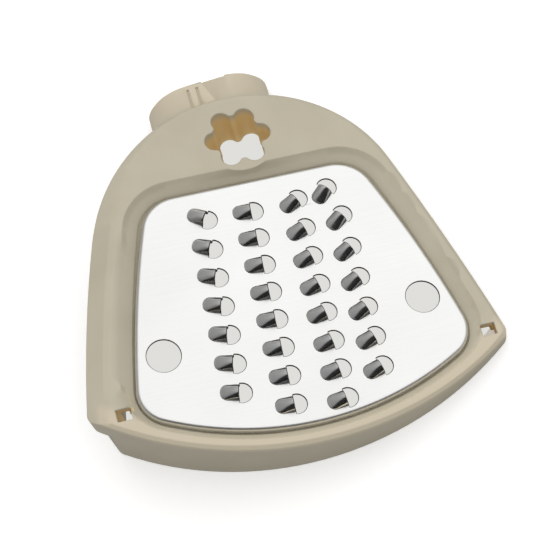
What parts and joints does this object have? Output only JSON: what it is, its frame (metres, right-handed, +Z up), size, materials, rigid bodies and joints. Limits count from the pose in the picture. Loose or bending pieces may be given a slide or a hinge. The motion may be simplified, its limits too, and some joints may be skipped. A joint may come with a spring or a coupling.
{
  "type": "grating disc",
  "caption": "Sector-shaped grating insert for a food processor: a wedge-shaped plastic holder with a lobed drive socket and a steel plate of hooded grating teeth.",
  "frame": {"origin": "on the axis of the drive socket, in the plane of the flat base", "axes": "+Z up along the socket's axis, -Y towards the curved rim, +X towards the low side of the sloping top"},
  "size_m": [0.1042, 0.1057, 0.0249],
  "materials": {
    "moulded_plastic": "fine matte moulded surface",
    "pressed_steel": "bright rolled sheet"
  },
  "bodies": {
    "root": {"holder": "moulded_plastic", "grating_plate": "pressed_steel"}
  },
  "joints": []
}
